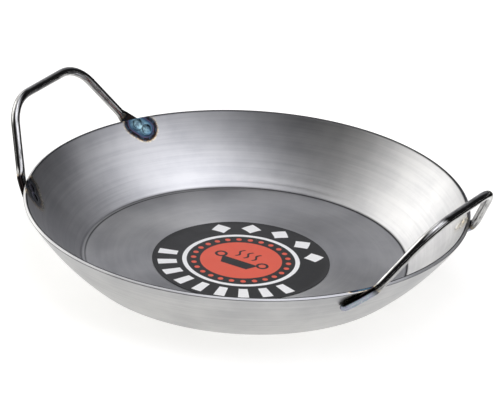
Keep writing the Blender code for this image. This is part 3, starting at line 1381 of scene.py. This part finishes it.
    def burn(self, spot: Vector, centre: Vector, along: float) -> float:
        """Return how dark a point is made: heat burn with painted shade at the knee, painted shade
        on the foot's hidden side, and a painted dark reflection on its upper side.

        Args:
            spot: The point.
            centre: The wire's centre beside it.
            along: How far past the knee that centre is.

        Returns:
            The darkening, from 0 to 1.
        """
        if along < self.burn_end:
            return 0.0
        normal, _, across = self.feet.directions(along)
        aside = (spot - centre).dot(across) / (self.feet.width / 2)
        upper = aside if across.z > 0 else -aside
        inward = (centre - spot).dot(normal) / (self.feet.thickness / 2)

        def grown(value: float, start: float, span: float) -> float:
            """Return how far a value has gone through a span that starts somewhere."""
            return (value - start) / span

        side = held(max(grown(upper, *self.burn_upper), grown(inward, *self.burn_inner)))
        side *= held(grown(along, *self.burn_foot))
        return max(side, self.burn_most * bell(grown(along, *self.burn_knee)))

    def mark(self, piece: bpy.types.Object) -> None:
        """Store the feet's heat and dark mark, with its painted shade, and where each vertex lies
        along and round the wire.

        Args:
            piece: The handle.
        """
        lengths = [0.0]
        for before, after in zip(self.line, self.line[1:]):
            lengths.append(lengths[-1] + (after - before).length)
        heats, draws, darkenings_and_shades = [], [], []
        for vertex in piece.data.vertices:
            spot = folded(vertex.co)
            index = self.station(spot)
            offset = (spot - self.line[index]).normalized()
            ahead = self.line[min(index + 1, len(self.line) - 1)] - self.line[max(index - 1, 0)]
            side = ahead.normalized().cross(Vector(self.loop_normal)).normalized()
            up = side.cross(ahead.normalized())
            draws.append((lengths[index], offset.dot(side), offset.dot(up)))
            along = self.feet.measure(self.line[index])
            least, start, span = self.foot_heat
            heats.append(least + max(0.0, start - along) / span)
            darkenings_and_shades.append(self.burn(spot, self.line[index], along))
        write_attribute(piece.data, HEAT, heats)
        write_attribute(piece.data, DRAW, draws)
        write_attribute(piece.data, DARKENING_AND_SHADE, darkenings_and_shades)


@dataclass
class Label:
    """The round paper label on the pan's floor."""

    radius: float = 0.0559
    centre: tuple[float, float] = (0.0013, -0.0060)
    floor: float = 0.0025
    thickness: float = 0.00016
    paste: float = 0.00004
    curl: float = 0.00022
    curl_start: float = 0.93
    curl_waves: float = 1.9
    segments: int = 160
    rings: int = 28

    def lift(self, spot: Vector) -> float:
        """Return how far the paper stands off the floor: more at its edge, in places.

        Args:
            spot: A point of the paper.

        Returns:
            The height over the floor.
        """
        away = Vector((spot.x - self.centre[0], spot.y - self.centre[1]))
        turn = atan2(away.y, away.x)
        edge = max(0.0, away.length / self.radius - self.curl_start) / (1 - self.curl_start)
        wave = 0.5 + 0.5 * noise.noise(Vector((cos(turn), sin(turn), 0.3)) * self.curl_waves)
        return self.paste + self.curl * edge * edge * wave

    def build(self) -> bpy.types.Object:
        """Inset a disc into rings, give it a thickness and lift its edge.

        Returns:
            The label's object.
        """
        piece = start_piece("label_print", bpy.ops.mesh.primitive_circle_add,
                            vertices=self.segments, radius=self.radius, fill_type="NGON",
                            location=(*self.centre, self.floor))
        for _ in range(self.rings):
            bpy.ops.mesh.inset(thickness=self.radius / (self.rings + 1), depth=0.0)
        bpy.ops.mesh.poke()
        bpy.ops.object.mode_set(mode="OBJECT")
        for vertex in piece.data.vertices:
            vertex.co.z += self.lift(vertex.co)
        apply_modifier(piece, "SOLIDIFY", thickness=self.thickness, offset=1.0)
        round_off(piece, 40)
        return piece


# ---------------------------------------------------------------- studio


@dataclass(frozen=True)
class Glow:
    """A soft bright region of the room, by its direction as the camera sees it, in degrees."""

    name: str
    turn: float
    tilt: float
    strength: float
    core: float = 3.0
    reach: float = 30.0


@dataclass(frozen=True)
class StripBox:
    """A long soft light that stands low beside the pan."""

    name: str
    turn: float
    tilt: float
    size: tuple[float, float] = (0.9, 0.12)
    power: float = 0.3
    distance: float = 0.9


@dataclass
class Studio:
    """A pale light table, a soft room, black flags and the camera."""

    azimuth: float = 30.84
    elevation: float = 25.016
    roll: float = 2.971
    distance: float = 2.51769
    slide: tuple[float, float] = (0.001704, 0.037126)
    lift: float = 0.001
    lens: float = 288.0
    base: float = 0.02
    backdrop: float = 0.95
    table_radius: float = 14.0
    table_glow: float = 0.76
    table_tint: Colour = (1.0, 0.992, 0.968)
    flag: tuple[float, float] = (0.25, 3.0)
    warm: Colour = (1.0, 0.990, 0.975)
    cool: Colour = (0.982, 0.988, 1.055)
    glows: tuple[Glow, ...] = (
        Glow("left, low", -120, 8, 1.5),
        Glow("left, mid", -108, 30, 1.8),
        Glow("left, far mid", -144, 30, 1.5),
        Glow("left, high", -129, 54, 0.5),
        Glow("behind, low", -156, 8, 0.7),
        Glow("behind, mid", 172, 24, 0.26),
        Glow("behind, high", 180, 76, 0.7),
        Glow("right, mid", 72, 30, 0.7),
        Glow("right, high", 76, 54, 1.4),
        Glow("right, near", 26, 54, 0.6),
        Glow("right, overhead", 60, 76, 1.5),
    )
    strips: tuple[StripBox, ...] = (StripBox("strip_left", -62, 9), StripBox("strip_right", 66, 9))

    def towards(self, turn: float, tilt: float) -> Vector:
        """Return a direction.

        Args:
            turn: Degrees from the camera's side, positive to its right.
            tilt: Degrees above the floor.

        Returns:
            The direction from the pan.
        """
        angle = radians(self.azimuth + turn)
        return Vector((sin(angle) * cos(radians(tilt)), -cos(angle) * cos(radians(tilt)),
                       sin(radians(tilt))))

    def place_camera(self) -> None:
        """Stand the camera at its angle."""
        data = bpy.data.cameras.new("camera")
        data.lens = self.lens
        data.sensor_width = 36.0
        data.clip_end = 100.0
        camera = put_in_scene("camera", data)
        back = self.towards(0.0, self.elevation)
        right = UP.cross(back).normalized()
        up = back.cross(right)
        spin = Matrix.Rotation(radians(self.roll), 3, back)
        place = back * self.distance + right * self.slide[0] + up * self.slide[1]
        place.z += self.lift
        turned = Matrix((spin @ right, spin @ up, back)).transposed().to_4x4()
        camera.matrix_world = Matrix.Translation(place) @ turned
        bpy.context.scene.camera = camera

    def stand_strips(self) -> None:
        """Stand the strip boxes low beside the pan, facing it."""
        for box in self.strips:
            data = bpy.data.lights.new(box.name, "AREA")
            data.shape = "RECTANGLE"
            data.size, data.size_y = box.size
            data.energy = box.power
            light = put_in_scene(box.name, data)
            direction = self.towards(box.turn, box.tilt)
            light.location = direction * box.distance
            light.rotation_euler = direction.to_track_quat("Z", "Y").to_euler()
            light.visible_camera = False

    def lay_table(self) -> None:
        """Lay a wide pale table that glows a little, just under the pan."""
        table = start_piece("light_table", bpy.ops.mesh.primitive_circle_add, vertices=96,
                            radius=self.table_radius, fill_type="NGON", location=-0.3 * MM * UP)
        bpy.ops.object.mode_set(mode="OBJECT")
        dress(table, Cloth("light_table", 0.40, 0.44, 60.0, 3.0).material(
            Roughness=0.85, Emission_Strength=self.table_glow, Emission_Color=self.table_tint))

    def lay_flag(self) -> None:
        """Lay a black ring round the pan, which only bright metal mirrors."""
        flag = start_piece("black_flag", bpy.ops.mesh.primitive_circle_add, vertices=96,
                           radius=self.flag[0], location=0.2 * MM * UP)
        extrude_to(Vector((0.0, 0.0, 0.0)))
        wider = self.flag[1] / self.flag[0]
        bpy.ops.transform.resize(value=(wider, wider, 1.0), center_override=(0, 0, 0))
        bpy.ops.object.mode_set(mode="OBJECT")
        dress(flag, Cloth("black_cloth", 0.010, 0.022, 300.0, 2.0).material(
            Roughness=0.9, Specular_IOR_Level=0.0))
        for ray in ("camera", "diffuse", "shadow", "transmission"):
            setattr(flag, f"visible_{ray}", False)

    def light_room(self) -> None:
        """Give the room its soft bright regions, and a plain pale look behind the table."""
        world = bpy.data.worlds.new("room")
        bpy.context.scene.world = world
        world.use_nodes = True
        graph = Graph(world.node_tree)
        shader = world.node_tree.nodes["Background"]
        direction = graph.add("TexCoord", output="Generated")
        total: object = self.base
        for glow in self.glows:
            aim = graph.vector("DOT_PRODUCT", direction, self.towards(glow.turn, glow.tilt),
                               output="Value")
            lobe = graph.remap(aim, cos(radians(glow.reach)), cos(radians(glow.core)), 0.0,
                               glow.strength)
            total = lobe + total
        seen = graph.add("LightPath", output="Is Camera Ray")
        across = graph.vector("DOT_PRODUCT", direction, self.towards(90.0, 0.0), output="Value")
        colour = graph.mix(graph.remap(across, -0.6, 0.1), self.warm, self.cool)
        graph.feed(shader.inputs["Color"], graph.mix(seen, colour, WHITE))
        graph.feed(shader.inputs["Strength"], total * (1.0 - seen) + seen * self.backdrop)

    def build(self) -> None:
        """Set up the room, the lights and the camera."""
        bpy.context.scene.view_settings.view_transform = "Standard"
        self.lay_table()
        self.lay_flag()
        self.light_room()
        self.stand_strips()
        self.place_camera()


# ---------------------------------------------------------------- assembly


def finish_piece(piece: bpy.types.Object, name: str, material: bpy.types.Material,
                 node: str) -> None:
    """Dress a piece and put it in the frame.

    Args:
        piece: The piece, in place.
        name: Its final name.
        material: Its finish.
        node: The CAD node it stands for.
    """
    piece.name = name
    dress(piece, material)
    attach(piece, "root")
    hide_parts(node)
    LOG.info("%s: %d faces, for %s", name, len(piece.data.polygons), node)


def place_handles(model: bpy.types.Object, feet: FootLine, material: bpy.types.Material) -> None:
    """Copy the modelled handle to both sides and remove the model.

    Args:
        model: The handle along +X.
        feet: The feet, which give each handle's angle.
        material: The handles' finish.
    """
    for side in Side:
        mesh = model.data.copy()
        mesh.transform(Matrix.Rotation(feet.turn(side), 4, "Z"))
        node = f"handle_{side.value}"
        name = f"{node}_wire"
        finish_piece(put_in_scene(name, mesh), name, material, node)
    bpy.data.objects.remove(model, do_unlink=True)


def dress_welds(nodes: dict[str, bpy.types.Object], material: bpy.types.Material) -> None:
    """Give the weld nuggets their finish, and leave their meshes as they are.

    Args:
        nodes: The frame's nodes by name.
        material: The nuggets' finish.
    """
    for name, node in nodes.items():
        if name.startswith("weld_"):
            for holder in node.material_slots:
                holder.material = material
            LOG.info("%s: kept as it is, in weld metal", name)


def main() -> None:
    """Build every sub-assembly round the frame, then the studio."""
    logging.basicConfig(level=logging.INFO, format="%(message)s")
    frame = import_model()
    wall = Wall()
    feet = FootLine(wall)
    finish_piece(PanBody(wall, feet).build(), "pan_sheet", SpunSteel().material(),
                 "pan_body")
    place_handles(LoopHandle(feet).build(), feet, DrawnSteel().material())
    finish_piece(Label().build(), "label_print", PrintedPaper().material(), "label")
    dress_welds(frame["nodes"], FusedSteel().material())
    Studio().build()


if __name__ == "__main__":
    main()
